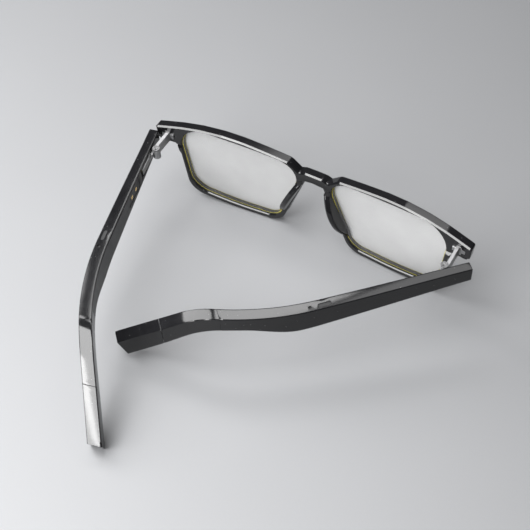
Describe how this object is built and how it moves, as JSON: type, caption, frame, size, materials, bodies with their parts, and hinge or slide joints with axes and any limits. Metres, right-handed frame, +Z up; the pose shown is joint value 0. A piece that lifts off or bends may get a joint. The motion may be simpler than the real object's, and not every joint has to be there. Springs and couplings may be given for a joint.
{
  "type": "smart glasses",
  "caption": "Black audio smart glasses with clear lenses, silver hinges and thick folding temples with sound slots, standing on a table.",
  "frame": {"origin": "centre of the bounding box at table level, in the resting pose with both temples partly folded", "axes": "+Z up off the table, +Y from the front towards the temple tips, +X towards the wearer's left"},
  "size_m": [0.1468, 0.1384, 0.0435],
  "materials": {
    "black_gloss": "deep black injection-moulded nylon, polished, with fine surface marks",
    "black_satin": "black satin plastic on the inner covers",
    "clear_lens": "clear blue-light lens with a faint coating tint and yellow-green edge",
    "hinge_steel": "polished stainless steel",
    "mesh_steel": "dark woven acoustic mesh",
    "gold": "gold-plated",
    "battery_foil": "laminated pouch foil",
    "board_green": "solder-masked board",
    "dark_plastic": "moulded speaker case",
    "sensor_film": "polyimide film with copper pads",
    "magnet": "nickel-plated magnet"
  },
  "bodies": {
    "front": {"front_frame": "black_gloss", "left_lens": "clear_lens", "right_lens": "clear_lens", "left_hinge_front": "hinge_steel", "right_hinge_front": "hinge_steel", "left_hinge_screw": "hinge_steel", "right_hinge_screw": "hinge_steel"},
    "left_temple": {"left_hinge_temple": "hinge_steel", "left_temple_shell": "black_gloss", "left_inner_cover": "black_satin", "left_ear_housing": "black_gloss", "left_tip_cap": "black_gloss", "left_battery": "battery_foil", "left_circuit_board": "board_green", "left_speaker": "dark_plastic", "left_vent_mesh": "mesh_steel", "left_outlet_mesh": "mesh_steel", "left_microphone": "gold", "left_touch_sensor": "sensor_film", "left_charge_contacts": "gold", "left_charge_magnets": "magnet"},
    "right_temple": {"right_hinge_temple": "hinge_steel", "right_temple_shell": "black_gloss", "right_inner_cover": "black_satin", "right_ear_housing": "black_gloss", "right_tip_cap": "black_gloss", "right_battery": "battery_foil", "right_circuit_board": "board_green", "right_speaker": "dark_plastic", "right_vent_mesh": "mesh_steel", "right_outlet_mesh": "mesh_steel", "right_microphone": "gold", "right_touch_sensor": "sensor_film", "right_charge_contacts": "gold", "right_charge_magnets": "magnet"}
  },
  "joints": [
    {"name": "left_temple_fold", "type": "hinge", "parent": "front", "child": "left_temple", "pos_m": [0.06563, -0.04691, 0.03451], "axis": [0, 0.0755, 0.9971], "range_deg": [-13.5, 12]},
    {"name": "right_temple_fold", "type": "hinge", "parent": "front", "child": "right_temple", "pos_m": [-0.06297, -0.04691, 0.03451], "axis": [0, -0.0755, -0.9971], "range_deg": [-45.5, 34]}
  ]
}
